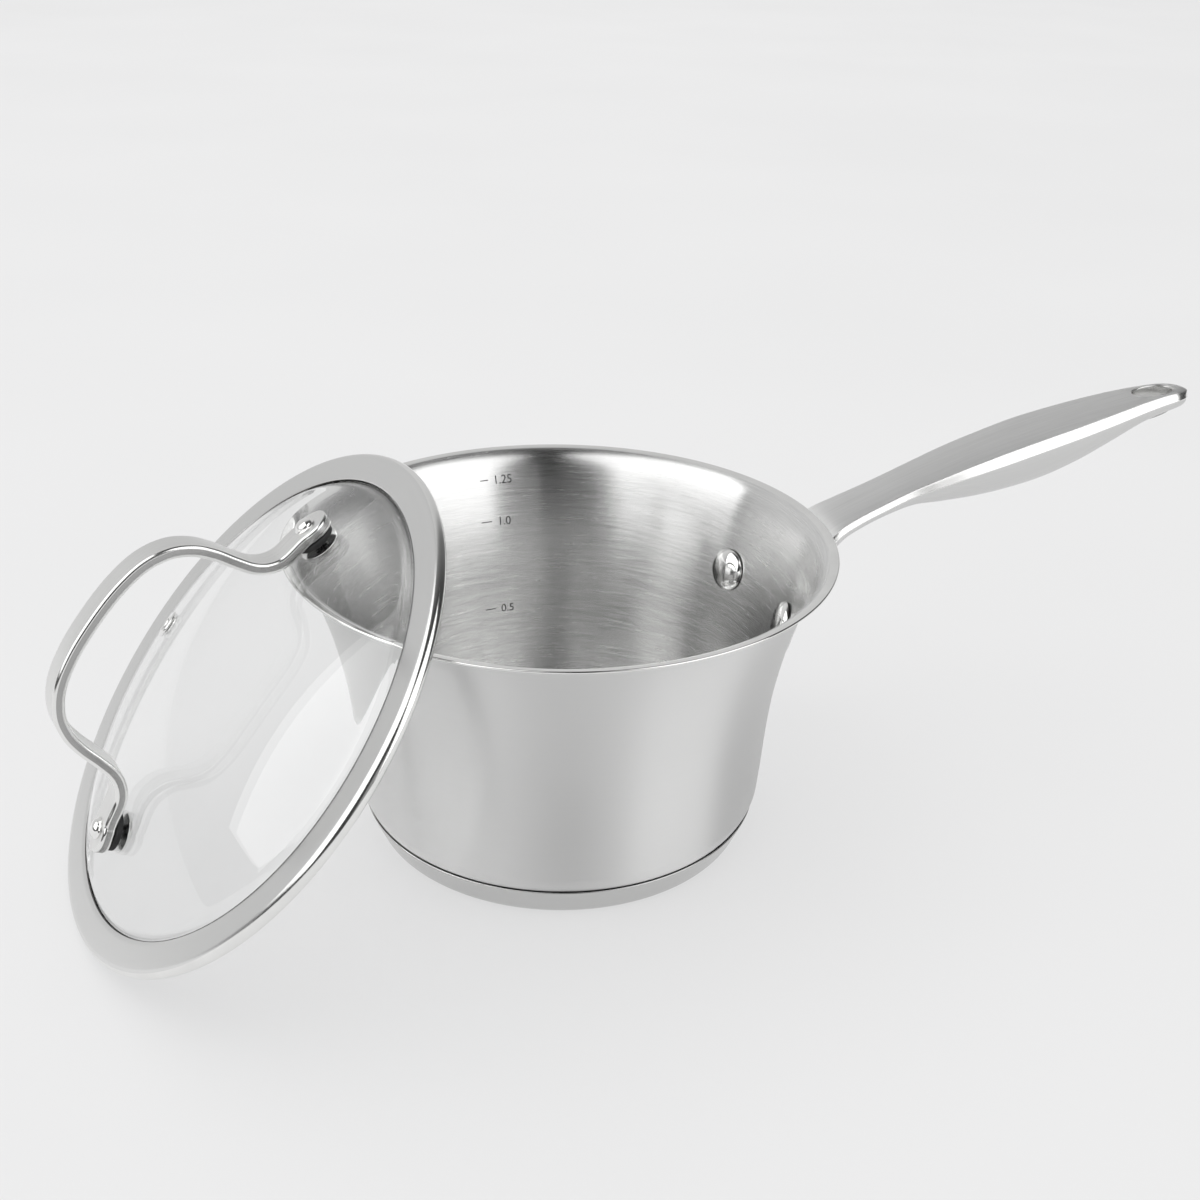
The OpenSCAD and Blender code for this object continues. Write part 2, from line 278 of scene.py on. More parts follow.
pan_in_steel = brushed("pan_inside_brushed", (0.80, 0.80, 0.795), 0.25, 0.05,
                       STROKES_FINE, STROKES_COARSE, 0.95, 0.03, 8e-6, 0.11, 0.05)
pan_out_steel = brushed("pan_outside_satin", (0.79, 0.79, 0.785), 0.42, 0.03,
                        RINGS_FINE, RINGS_COARSE, 0.95, 0.03, 8e-6, 0.012)
lip_steel = polished("pan_lip_polished", (0.84, 0.84, 0.83), 0.09, 0.04)
# The base cap's steel tone is set darker as painted shade, for the shadowed floor close under the pan.
cap_steel_shaded = brushed("base_cap_satin_painted_shade", (0.60, 0.60, 0.595), 0.24, 0.05,
                    RINGS_FINE, RINGS_COARSE, 0.5, 0.08, 1.5e-5, 0.03)
core_metal = brushed("core_pressed_aluminium", (0.72, 0.73, 0.74), 0.42, 0.06,
                     RINGS_FINE, RINGS_COARSE, 0.2, 0.1, 2e-5, 0.05)
handle_steel = brushed("handle_brushed", (0.88, 0.88, 0.875), 0.5, 0.07,
                       (55, 2600, 2600), (24, 900, 900), 0.7, 0.25, 3e-5, 0.08)
# The belly is a darker copy of the handle steel: painted shade for the downward-facing underside.
belly_steel_shaded = brushed("handle_belly_painted_shade", (0.66, 0.66, 0.655), 0.34, 0.06,
                      ALONG_FINE, ALONG_COARSE, 0.5, 0.18, 3e-5, 0.05)
edge_steel = polished("handle_edge_polished", (0.84, 0.84, 0.83), 0.17, 0.06)
saddle_steel = brushed("saddle_brushed", (0.80, 0.80, 0.79), 0.27, 0.05,
                       ALONG_FINE, ALONG_COARSE, 0.5, 0.12, 2e-5, 0.04)
sleeve_steel = polished("sleeve_satin", (0.76, 0.76, 0.75), 0.2, 0.08)
rivet_steel = polished("rivet_mirror", (0.88, 0.88, 0.87), 0.04, 0.03)
band_steel = brushed("band_satin", (0.76, 0.76, 0.755), 0.24, 0.04,
                     RINGS_FINE, RINGS_COARSE, 0.6, 0.05, 1e-5, 0.02)
roll_steel = polished("band_roll_polished", (0.84, 0.84, 0.83), 0.12, 0.05)
strap_steel = brushed("strap_brushed", (0.80, 0.80, 0.79), 0.3, 0.06,
                      ALONG_FINE, ALONG_COARSE, 0.5, 0.2, 3e-5, 0.06)
strap_edge = polished("strap_edge_polished", (0.84, 0.84, 0.83), 0.12, 0.05)
# The bar's narrow sides are a dark copy of the strap steel: painted shade.
strap_side_shaded = polished("strap_side_painted_shade", (0.42, 0.42, 0.415), 0.22, 0.06)
stud_steel = polished("stud_mirror", (0.88, 0.88, 0.87), 0.05, 0.03)
washer_steel = polished("washer_polished", (0.86, 0.86, 0.85), 0.07, 0.04)
vent_steel = polished("vent_polished", (0.86, 0.86, 0.85), 0.08, 0.04)


def glass_material():
    m, nt, bsdf = new_material("lid_clear_glass")
    where = object_of(nt)
    smear = noise_of(nt, where, (30, 30, 30), 3.0, 0.6)
    nt.links.new(remap(nt, smear, 0.0, 0.03, 0.45, 0.8), bsdf.inputs["Roughness"])
    nt.links.new(colour_of(nt, smear, (0.945, 0.948, 0.947), (0.96, 0.962, 0.961)),
                 bsdf.inputs["Base Color"])
    ripple = noise_of(nt, where, (24, 24, 24), 1.0, 0.5)
    nt.links.new(bump_of(nt, ripple, 0.05, 1e-4), bsdf.inputs["Normal"])
    bsdf.inputs["IOR"].default_value = 1.5
    bsdf.inputs["Transmission Weight"].default_value = 1.0
    return m


def rubber_material():
    m, nt, bsdf = new_material("gasket_silicone")
    where = object_of(nt)
    grain = noise_of(nt, where, (1500, 1500, 1500), 3.0, 0.6)
    dust = noise_of(nt, where, (220, 220, 220), 3.0, 0.6)
    nt.links.new(colour_of(nt, dust, (0.012, 0.012, 0.013), (0.035, 0.035, 0.035)),
                 bsdf.inputs["Base Color"])
    nt.links.new(remap(nt, grain, 0.5, 0.72), bsdf.inputs["Roughness"])
    nt.links.new(bump_of(nt, grain, 0.25, 3e-5), bsdf.inputs["Normal"])
    return m


def etched_material():
    """Grey etched marking on steel."""
    m, nt, bsdf = new_material("volume_mark_etched")
    spots = noise_of(nt, object_of(nt), (2500, 2500, 2500), 2.0, 0.5)
    nt.links.new(colour_of(nt, spots, (0.05, 0.05, 0.05), (0.16, 0.16, 0.16)),
                 bsdf.inputs["Base Color"])
    nt.links.new(remap(nt, spots, 0.5, 0.75), bsdf.inputs["Roughness"])
    nt.links.new(bump_of(nt, spots, 0.2, 1e-5), bsdf.inputs["Normal"])
    bsdf.inputs["Metallic"].default_value = 0.5
    return m


glass = glass_material()
# A dark steel used only as painted shade: the gap under the rivet heads, the lid band's inner edge at the
# glass, and the pan wall in the groove above the base cap.
shade_paint = brushed("painted_shade_dark", (0.16, 0.155, 0.15), 0.5, 0.1,
                 RINGS_FINE, RINGS_COARSE, 0.2, 0.1, 2e-5, 0.2)
rubber = rubber_material()
etched = etched_material()

# ---- pan ----------------------------------------------------------------------------------
WALL_T, BASE_T = 0.8, 5.8
WALL = [(66.85, 17), (67.5, 25), (68.1, 35), (68.9, 45), (70.1, 55), (71.9, 65), (74.2, 75),
        (77.2, 85), (79.8, 92), (81.9, 96), (84.1, 98.1), (86.6, 98.68)]
wall = smooth(WALL, 10)
wall_n = normals_2d(wall)
outside = np.concatenate([np.array([(r, BASE_T) for r in np.linspace(0, 52, 14)]),
                          arc(54.9, BASE_T + 12, 12, -90, -6, 22), wall])
n_out = normals_2d(outside)
inside = outside + WALL_T * n_out
inside[0, 0] = 0.0
edge_c, edge_n = (outside[-1] + inside[-1]) / 2, wall_n[-1]
edge_t = np.array([edge_n[1], -edge_n[0]])
lip_arc = [edge_c + WALL_T / 2 * (-edge_n * math.cos(t) + edge_t * math.sin(t))
           for t in np.linspace(0, math.pi, 13)[1:-1]]
lip_start, lip_end = len(outside) - 11, len(outside) + len(lip_arc) + 9
pan_outline = np.concatenate([outside, lip_arc, inside[::-1]])
pan_mesh = lathe("pan_body", pan_outline, AROUND, closed=False)
piece("pan_shell", pan_mesh, "pan",
      [pan_in_steel, pan_out_steel, lip_steel, shade_paint], ["pan_body"])
columns = len(pan_outline) - 1
# Below this height the outside of the wall gets the dark paint: painted shade in the groove above the base
# cap.
SHADE_PAINT_TOP = 11.5
zone = []
for i in range(AROUND):
    for j in range(columns):
        in_painted_shade = j < lip_start and pan_outline[j + 1][1] < SHADE_PAINT_TOP
        zone.append(3 if in_painted_shade else (1 if j < lip_start else (2 if j < lip_end else 0)))
pan_mesh.polygons.foreach_set("material_index", zone)
finish_mesh(pan_mesh)


def wall_at(z):
    """Outside radius and slope of the wall at a height."""
    r = np.interp(z, wall[:, 1], wall[:, 0])
    rise = np.interp(z + 1, wall[:, 1], wall[:, 0]) - np.interp(z - 1, wall[:, 1], wall[:, 0])
    return float(r), float(rise) / 2


# base cap: a shallow pressed steel cup round the base disc, its top edge rounded over
CAP_T, CAP_FLAT_R, CAP_BEND_R, CAP_TOP, CAP_LEAN = 0.5, 57.7, 5, 10.9, 23.3
lean = math.radians(CAP_LEAN)
bend = arc(CAP_FLAT_R, CAP_BEND_R, CAP_BEND_R, -90, -CAP_LEAN, 14)
cap_top = bend[-1] + (CAP_TOP - bend[-1][1]) * np.array([math.tan(lean), 1])
cap_out = np.concatenate([[(r, 0.0) for r in np.linspace(0, 54, 10)], bend,
                          [bend[-1] + (cap_top - bend[-1]) * t for t in (0.25, 0.5, 0.75, 0.94)]])
cap_in = cap_out + CAP_T * normals_2d(cap_out)
cap_in[0, 0] = 0.0
mid = (cap_top * 2 + CAP_T * np.array([-math.cos(lean), math.sin(lean)])) / 2
side, up = np.array([math.cos(lean), -math.sin(lean)]), np.array([math.sin(lean), math.cos(lean)])
cap_edge = [mid - 0.25 * up + CAP_T / 2 * (side * math.cos(t) + up * math.sin(t))
            for t in np.linspace(0, math.pi, 9)]
cap_outline = np.concatenate([cap_out, cap_edge, cap_in[::-1]])
cap_mesh = finish_mesh(lathe("base_cap", cap_outline, AROUND, False))
piece("base_cap_shell", cap_mesh, "pan", [cap_steel_shaded], ["base_cap"])
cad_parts["base_core"].data.materials.clear()
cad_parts["base_core"].data.materials.append(core_metal)

# volume marks: a tick and a plain number at each level, lying on the inside of the wall
marks = bpy.data.meshes.new("volume_marks")
bm = bmesh.new()


def on_inside(azimuth, z, lift=0.03):
    r, slope = wall_at(z)
    k = math.hypot(1, slope)
    r2 = r - (WALL_T + lift) / k
    return Vector((r2 * math.cos(math.radians(azimuth)), r2 * math.sin(math.radians(azimuth)),
                   z + (WALL_T + lift) / k * slope)) * MM


def tick(a0, a1, z, half):
    n = 8
    rows = [[on_inside(a0 + (a1 - a0) * k / n, zz) for k in range(n + 1)] for zz in (z - half, z + half)]
    vs = [[bm.verts.new(p) for p in row] for row in rows]
    for k in range(n):
        bm.faces.new((vs[0][k], vs[0][k + 1], vs[1][k + 1], vs[1][k]))


def number(text, azimuth, z, height):
    """Digits as flat strips bent onto the wall, reading left to right from inside."""
    curve = bpy.data.curves.new("digits", "FONT")
    curve.body = text
    curve.size = height * 1.38
    curve.fill_mode = "FRONT"
    curve.resolution_u = 6
    ob = bpy.data.objects.new("digits", curve)
    bpy.context.scene.collection.objects.link(ob)
    bpy.context.view_layer.update()
    flat = bpy.data.meshes.new_from_object(ob.evaluated_get(bpy.context.evaluated_depsgraph_get()))
    r, _ = wall_at(z)
    vs = [bm.verts.new(on_inside(azimuth - math.degrees(v.co.x / (r - WALL_T)), z - height / 2 + v.co.y))
          for v in flat.vertices]
    for f in flat.polygons:
        bm.faces.new([vs[i] for i in f.vertices])
    bpy.data.objects.remove(ob)
    bpy.data.curves.remove(curve)
    bpy.data.meshes.remove(flat)


for z, a0, a1, text, at in ((43.2, 92.3, 95.6, "0.5", 90.6), (75.6, 91.8, 95.0, "1.0", 90.2),
                            (89.9, 91.8, 94.0, "1.25", 90.4)):
    tick(a0, a1, z, 0.16)
    number(text, at, z, 3.0)
bm.to_mesh(marks)
bm.free()
piece("volume_marks", marks, "pan", [etched])


# ---- rivets and saddle --------------------------------------------------------------------
RIVET_Z, RIVET_A, SADDLE_T = 70.0, 17.5, 2.2
HEAD_R, HEAD_H, HEAD_GAP, SHANK_R = 7.2, 2.9, 0.45, 2.3


def rivet_place(sign):
    r, slope = wall_at(RIVET_Z)
    tilt = math.atan(slope)
    return (Matrix.Rotation(math.radians(sign * RIVET_A), 4, "Z")
            @ Matrix.Translation(Vector((r, 0, RIVET_Z)) * MM)
            @ Matrix.Rotation(math.pi / 2 + tilt, 4, "Y"))


head_z = -(WALL_T + HEAD_GAP)
rivet_outline = np.concatenate([
    [(0, head_z - HEAD_H)],
    [(HEAD_R * math.sin(t), head_z - HEAD_H * math.cos(t))
     for t in np.radians(np.linspace(0, 90, 26))[1:-1]],
    [(HEAD_R, head_z - 0.12), (7.12, head_z), (6.9, head_z + 0.02), (SHANK_R, head_z + 0.02),
     (SHANK_R, SADDLE_T + 0.02), (3.9, SADDLE_T + 0.02), (4.15, SADDLE_T + 0.1)],
    [(4.2 * math.cos(t), SADDLE_T + 0.02 + 1.6 * math.sin(t)) for t in np.radians(np.linspace(8, 90, 14))],
])
rivet_outline[0, 0] = rivet_outline[-1, 0] = 0.0
SHADE_RING_FROM, SHADE_RING_TO = 24, 27    # columns of the outline at the edge of the head, drawn dark as painted shade of the gap under the head
for sign, label in ((1, "left"), (-1, "right")):
    mesh = lathe("pan_rivet", rivet_outline, SMALL_AROUND, False)
    shade_ring = [1 if SHADE_RING_FROM <= j <= SHADE_RING_TO else 0 for j in range(len(rivet_outline) - 1)]
    mesh.polygons.foreach_set("material_index", shade_ring * SMALL_AROUND)
    piece("rivet_" + label, finish_mesh(mesh), "pan", [rivet_steel, shade_paint],
          ["pan_rivet_" + label], rivet_place(sign))

# saddle plate: a rounded stadium bent to the wall, its edges rolled over
half_w, half_h = 30.0, 12.0
rings = []
for inset, lift in ([(0.0, 0.05)] + [(0.7 * (1 - math.cos(t)), SADDLE_T - 0.7 + 0.7 * math.sin(t))
                                   for t in np.radians(np.linspace(0, 90, 7))]
                    + [(f, SADDLE_T) for f in (2.0, 5.0, 8.0, 11.5)]):
    ring = []
    h = half_h - inset
    w = half_w - half_h
    for a in np.radians(np.linspace(0, 360, 96, endpoint=False)):
        y = h * math.cos(a) + (w if math.cos(a) >= 0 else -w) * (1 if abs(math.cos(a)) > 1e-9 else 0)
        z = RIVET_Z + h * math.sin(a)
        r, slope = wall_at(z)
        k = math.hypot(1, slope)
        rr = r + lift / k
        turn = y / (r + SADDLE_T)
        ring.append((rr * math.cos(turn), rr * math.sin(turn), z - lift / k * slope, y, z, lift))
    rings.append(ring)
rings = np.array(rings)
grid = np.transpose(rings, (1, 0, 2))
coat = np.stack([grid[..., 3], grid[..., 4], grid[..., 5]], axis=2) * MM
saddle_mesh = surface("handle_saddle", grid[..., :3], coat, loop_i=True)
bm = bmesh.new()
bm.from_mesh(saddle_mesh)
bm.verts.ensure_lookup_table()
bmesh.ops.holes_fill(bm, edges=[e for e in bm.edges if e.is_boundary], sides=0)
bmesh.ops.triangulate(bm, faces=[f for f in bm.faces if len(f.verts) > 4])
bm.to_mesh(saddle_mesh)
bm.free()
piece("saddle_plate", finish_mesh(saddle_mesh), "pan", [saddle_steel], ["handle_saddle"])

# ---- pan handle ---------------------------------------------------------------------------
GRIP_END = 232.4
GRIP = [(66, 68.5, 19, 1.9, 3, 5), (73, 75.6, 18, 1.9, 3, 5), (79, 82, 15.8, 1.9, 2.8, 5),
        (85, 88.6, 13.4, 1.9, 2.5, 5), (92, 94.8, 11.8, 1.9, 2.4, 5), (100, 98.4, 10.7, 1.9, 2.4, 4.5),
        (110, 102, 10.1, 1.9, 2.7, 4), (120, 105.6, 10, 2, 4.6, 3), (130, 108.9, 10.8, 2.5, 8.2, 2.4),
        (142, 112.7, 11.8, 3.1, 11.4, 2.2), (156, 116.6, 12.5, 3.5, 13.5, 2.1),
        (170, 120.1, 12.8, 3.5, 14.2, 2.1), (184, 123, 12.2, 3.4, 12.6, 2.1),
        (198, 125.7, 10.9, 3.2, 9.2, 2.2), (210, 127.8, 9.3, 3, 6.2, 2.4), (219, 129, 7.9, 2.8, 4.6, 2.6),
        (225, 129.5, 7, 2.6, 4, 2.8), (229, 129.5, 5.7, 2.4, 3.5, 2.8),
        (231.3, 129.4, 4, 2.2, 3.1, 2.8), (GRIP_END, 129.2, 2.2, 2, 2.6, 2.8)]
HANG_X, HANG_L, HANG_W = 219.0, 7.6, 4.6
SHELL_T = 1.3
curve = smooth(GRIP, 30)
ends = list(np.arange(67, HANG_X - HANG_L - 1, 1.6))
hole = [HANG_X - (HANG_L + 0.55) * math.cos(t) for t in np.linspace(0, math.pi, 33)]
tail = list(np.linspace(HANG_X + HANG_L + 1.1, GRIP_END - 0.8, 10)) + [GRIP_END - 0.3, GRIP_END]
stations = np.array(ends + [HANG_X - HANG_L - 1.4] + hole + tail)


def grip_at(x):
    return [x] + [float(np.interp(x, curve[:, 0], curve[:, k])) for k in range(1, 6)]


def hole_half(x):
    t = (x - HANG_X) / (HANG_L + 0.55)
    return (HANG_W + 0.55) * math.sqrt(max(0.0, 1 - t * t)) if abs(t) < 1 else 0.0


def frame_of(x):
    a, b = grip_at(x - 1.5), grip_at(min(x + 1.5, GRIP_END))
    d = np.array([b[0] - a[0], (b[1] - a[1]) * float(np.clip((212 - x) / 14, 0, 1))])
    return d / np.linalg.norm(d)


def top_half(x):
    """One side of the top shell: from the middle (or the hole) over the chamfer and back below."""
    _, _, w, s, _, _ = grip_at(x)
    h = hole_half(x)
    t = min(SHELL_T, s * 0.6, w * 0.45)
    chamfer = min(0.5 * s, 0.2 * w, w - h - 1.3)
    crown = 0.9 * min(1, w / 10)

    def face(y):
        return crown * (1 - abs(y / w) ** 2.6)
    y0 = w - chamfer - 0.7
    a = np.array([y0, face(y0)])
    b = np.array([w - chamfer - 0.2, face(y0) - 0.02])
    c = np.array([w - chamfer + 0.12, face(y0) - 0.3])
    top = [(h + (y0 - h) * k / 14, face(h + (y0 - h) * k / 14)) for k in range(15)]
    bend = [tuple(a * (1 - u) ** 2 + 2 * b * u * (1 - u) + c * u * u) for u in np.linspace(0, 1, 9)[1:]]
    foot = np.array([w - 0.1, -s + 0.42])
    slope = [tuple(c + (foot - c) * u) for u in (0.5, 1.0)]
    edge = [(w, -s + 0.22), (w - 0.06, -s + 0.08), (w - 0.4, -s)]
    under = [(w - t - 0.1, -s), (w - t - 0.2, -s + 0.2)]
    reach = w - t - 0.4 - chamfer * 0.6
    inner = [(h + (reach - h) * (1 - k / 8), face(h + (reach - h) * (1 - k / 8)) - t) for k in range(9)]
    return top + bend + slope + edge + under + inner


def belly_half(x):
    """One side of the belly: from the middle (or the hole) round to the seam and back inside."""
    _, _, w, s, b, n = grip_at(x)
    w -= 0.3
    h = hole_half(x)
    t = min(SHELL_T, b * 0.55, w * 0.45)

    def low(u, depth):
        return -s - 0.03 - depth * max(0.0, 1 - abs(u) ** n) ** (1 / n)
    k0 = math.asin(min(1, h / w))
    outer = [(w * math.sin(a), low(math.sin(a), b)) for a in np.linspace(k0, math.pi / 2, 26)]
    k1 = math.asin(min(1, h / (w - t)))
    inner = [((w - t) * math.sin(a), low(math.sin(a), b - t)) for a in np.linspace(math.pi / 2, k1, 14)]
    return outer + inner


def trimmed(mesh):
    """The mesh with everything inside the middle of the saddle plate cut away."""
    core = np.array([(wall_at(z)[0] + 1.1, z) for z in np.linspace(45, 92, 48)])
    cutter = finish_mesh(lathe("trim", np.concatenate([[(0, 45)], core, [(0, 92)]]), AROUND, False))
    a, b = (bpy.data.objects.new(m.name, m) for m in (mesh, cutter))
    for ob in (a, b):
        bpy.context.scene.collection.objects.link(ob)
    cut = a.modifiers.new("trim", "BOOLEAN")
    cut.operation, cut.solver, cut.object = "DIFFERENCE", "EXACT", b
    bpy.context.view_layer.update()
    result = bpy.data.meshes.new_from_object(a.evaluated_get(bpy.context.evaluated_depsgraph_get()))
    for ob in (a, b):
        bpy.data.objects.remove(ob)
    return result


def shell(name, half, edge_from, edge_to, mats, nodes):
    """Both sides of a handle shell, open round the hanging hole and closed at its two ends."""
    parts = []
    for sign in (1, -1):
        grid, coat = [], []
        run = 0.0
        last = None
        for x in stations:
            g, d = grip_at(x), frame_of(x)
            here = np.array([g[0], g[1]])
            run += 0.0 if last is None else float(np.linalg.norm(here - last))
            last = here
            section = half(x)
            grid.append([(g[0] - d[1] * z, sign * y, g[1] + d[0] * z) for y, z in section])
            across = np.concatenate([[0], np.cumsum([math.dist(p, q) for p, q in zip(section, section[1:])])])
            coat.append([(run * MM, sign * c * MM, 0.0) for c in across])
        grid, coat = np.array(grid), np.array(coat)
        n = grid.shape[1]
        open_hole = [hole_half(x) > 1e-6 for x in stations]

        def skip(i, j):
            return j == n - 1 and not (open_hole[i] or open_hole[i + 1])
        mesh = surface(name, grid, coat, loop_j=True, skip=skip)
        index = []
        for i in range(len(stations) - 1):
            for j in range(n):
                if not skip(i, j):
                    index.append(1 if edge_from <= j < edge_to else 0)
        mesh.polygons.foreach_set("material_index", index)
        parts.append(mesh)
    bm = bmesh.new()
    for mesh in parts:
        bm.from_mesh(mesh)
        bpy.data.meshes.remove(mesh)
    bmesh.ops.remove_doubles(bm, verts=bm.verts, dist=2e-6)
    bmesh.ops.holes_fill(bm, edges=[e for e in bm.edges if e.is_boundary], sides=0)
    bmesh.ops.triangulate(bm, faces=[f for f in bm.faces if len(f.verts) > 4])
    mesh = bpy.data.meshes.new(name)
    bm.to_mesh(mesh)
    bm.free()
    mesh = trimmed(finish_mesh(mesh))
    mesh.polygons.foreach_set("use_smooth", [True] * len(mesh.polygons))
    mesh.set_sharp_from_angle(angle=math.radians(50))
    return piece(name, mesh, "pan", mats, nodes)


shell("handle_upper_shell", top_half, 22, 28, [handle_steel, edge_steel], ["handle_top"])
shell("handle_lower_shell", belly_half, 0, 0, [belly_steel_shaded], ["handle_bottom"])

# sleeve through the hanging hole: an oval tube with a rolled top lip
sleeve_sections = []
turns = np.radians(np.linspace(0, 360, SMALL_AROUND, endpoint=False))
for a in turns:
    c, s = math.cos(a), math.sin(a)
    x0 = HANG_X + (HANG_L + 0.3) * c
    z_hi = grip_at(x0)[1] + 0.45
    z_lo = grip_at(x0)[1] - grip_at(x0)[3] - grip_at(x0)[4] * 0.98
    section = [(0.0, z_lo), (0.0, (z_lo + z_hi) / 2), (0.0, z_hi - 0.35), (0.08, z_hi - 0.12),
               (0.3, z_hi), (0.52, z_hi - 0.12), (0.6, z_hi - 0.35), (0.6, (z_lo + z_hi) / 2), (0.6, z_lo)]
    sleeve_sections.append([(HANG_X + (HANG_L + o) * c, (HANG_W + o) * s, z) for o, z in section])
grid = np.array(sleeve_sections)
coat = np.stack([np.tile(np.cos(turns)[:, None], (1, 9)), np.tile(np.sin(turns)[:, None], (1, 9)),
                 grid[..., 2] * MM], axis=2)
piece("hang_sleeve_oval", finish_mesh(surface("hang_sleeve", grid, coat, loop_i=True, loop_j=True)),
      "pan", [sleeve_steel], ["hang_sleeve"])

# ---- lid ----------------------------------------------------------------------------------
LEAN_EL, LEAN_AZ, REACH, TURN = 41.2, 186.0, 104.5, 5.9
ROLL_R, ROLL_T, GLASS_T, DOME_H, DOME_K = 83.2, 2.2, 4.0, 13.9, 0.0027
STUD_R, VENT_R, GASKET_T, STRAP_T, STRAP_W = 52.0, 54.0, 1.8, 3.6, 10.5
lid_z = ROLL_R * math.cos(math.radians(LEAN_EL)) + ROLL_T
LID = (Matrix.Translation(Vector((REACH * math.cos(math.radians(LEAN_AZ)),
                                  REACH * math.sin(math.radians(LEAN_AZ)), lid_z)) * MM)
       @ Matrix.Rotation(math.radians(LEAN_AZ), 4, "Z")
       @ Matrix.Rotation(math.radians(90 - LEAN_EL), 4, "Y")
       @ Matrix.Rotation(math.radians(TURN), 4, "Z"))


def inner_h(r):
    return DOME_H - DOME_K * r * r


def outer_h(r):
    return inner_h(r) + GLASS_T


def on_dome(r, a):
    return (Matrix.Rotation(math.radians(a), 4, "Z") @ Matrix.Translation(Vector((r, 0, outer_h(r))) * MM)
            @ Matrix.Rotation(math.atan(2 * DOME_K * r), 4, "Y"))


FLANGE, FLANGE_TOP = -2.2, 1.35
upper = np.concatenate([
    [(r, outer_h(r)) for r in np.linspace(0, 71.4, 44)],
    smooth([(71.4, outer_h(71.4)), (72.4, outer_h(72.4) - 0.06), (73.3, outer_h(73.3) - 0.35), (74.2, 2.15),
            (74.9, FLANGE_TOP + 0.06), (75.6, FLANGE_TOP), (77.1, FLANGE_TOP)], 6)[1:],
    arc(77.1, FLANGE_TOP - 0.5, 0.5, 90, 0, 5)[1:]])
lower = np.concatenate([
    arc(77.1, FLANGE + 0.5, 0.5, 0, -90, 5),
    [(r, inner_h(r)) for r in np.linspace(76.8, 0, 50)]])
piece("glass_dome", finish_mesh(lathe("lid_glass", np.concatenate([upper, lower]), AROUND, False)),
      "lid", [glass], ["lid_glass"], LID)

band = np.concatenate([
    [(75.35, 1.42), (77.5, 1.42), (77.62, 1.6), (79, 1.6)],
    arc(ROLL_R, 0, ROLL_T - 0.6, 90, -90, 16),
    [(80, -1.6), (78.2, -1.65), (78.2, FLANGE), (76, FLANGE), (74.85, FLANGE - 0.02), (74.75, FLANGE - 0.3),
     (74.85, FLANGE - 0.58), (76.5, FLANGE - 0.6), (77.3, FLANGE - 0.62), (77.75, -3.2), (77.8, -4.4),
     (77.86, -5.25), (78.1, -5.55), (78.4, -5.6), (78.7, -5.55), (78.94, -5.25), (79, -4.4), (79, -2.7),
     (79.08, -2.35), (79.35, -2.2), (81, -2.2)],
    arc(ROLL_R, 0, ROLL_T, -90, 90, 40)])
roll_from = len(band) - 41
top_in = [(81, ROLL_T), (79, ROLL_T), (77, ROLL_T), (76.4, ROLL_T - 0.01), (75.75, ROLL_T - 0.1),
          (75.35, 2.0), (75.2, 1.8), (75.22, 1.58)]
band = np.concatenate([band, top_in])
band_mesh = lathe("lid_band", band, AROUND)
count = len(band)
zone = []
for i in range(AROUND):
    for j in range(count):
        # The band's inner edge at the glass gets the dark paint: a painted shade line at the joint.
        shaded_inner_edge = j >= count - 3 or j == 0
        zone.append(2 if shaded_inner_edge else (1 if roll_from <= j < roll_from + 33 else 0))
band_mesh.polygons.foreach_set("material_index", zone)
piece("band_ring", finish_mesh(band_mesh), "lid",
      [band_steel, roll_steel, shade_paint], ["lid_band"], LID)

# strap: one bent bar with a round eye at each foot
foot_dir = math.atan(2 * DOME_K * STUD_R)
foot = (np.array([STUD_R, outer_h(STUD_R)])
        + (GASKET_T + STRAP_T / 2 + 0.02) * np.array([math.sin(foot_dir), math.cos(foot_dir)]))
out_dir = np.array([math.cos(foot_dir), -math.sin(foot_dir)])
half_path = [foot, foot - 2.4 * out_dir, foot - 4.4 * out_dir, (42.2, 16.7), (38.2, 19.5), (35.7, 23.6),
             (34.4, 29.4), (33.4, 35.6), (31.4, 41.6), (27.4, 47), (20.5, 51.2), (11, 53.4), (0, 54)]
path = smooth(half_path + [(-p[0], p[1]) for p in half_path[-2::-1]], 10)
EYE_R, EYE_OUT = 5.75, 1.4
tip = [foot + (EYE_OUT + EYE_R * math.sin(t)) * out_dir for t in np.radians(np.linspace(90, 0, 15))]
path = np.concatenate([tip, path, [(-p[0], p[1]) for p in tip[::-1]]])
direction = np.gradient(path, axis=0)
direction /= np.linalg.norm(direction, axis=1)[:, None]
feet = [foot, np.array([-foot[0], foot[1]])]
along = [np.array([out_dir[0], out_dir[1]]), np.array([-out_dir[0], out_dir[1]])]
run = np.concatenate([[0], np.cumsum(np.linalg.norm(np.diff(path, axis=0), axis=1))])
grid, coat = [], []
for q, d in zip(path, direction):
    side = 0 if q[0] > 0 else 1
    beyond = float((q - feet[side]) @ along[side])
    w = STRAP_W / 2
    if beyond > EYE_OUT:
        w = math.sqrt(max(EYE_R ** 2 - (beyond - EYE_OUT) ** 2, 0.0))
    elif beyond > 0:
        w = EYE_R
    elif np.linalg.norm(q - feet[side]) < EYE_R:
        w = max(w, math.sqrt(EYE_R ** 2 - beyond ** 2))
    w = max(w, 0.02)
    r = min(1.0, w * 0.9, STRAP_T * 0.45)
    ht = STRAP_T / 2
    ring = rounded([(w, -ht, r), (w, ht, r), (-w, ht, r), (-w, -ht, r)], 7)
    normal = np.array([-d[1], d[0]])
    grid.append([(q[0] + normal[0] * v, u, q[1] + normal[1] * v) for u, v in ring])
    coat.append([(0, u * MM, v * MM) for u, v in ring])
grid, coat = np.array(grid), np.array(coat)
coat[..., 0] = run[:, None] * MM
strap_mesh = surface("lid_strap", grid, coat, loop_j=True)
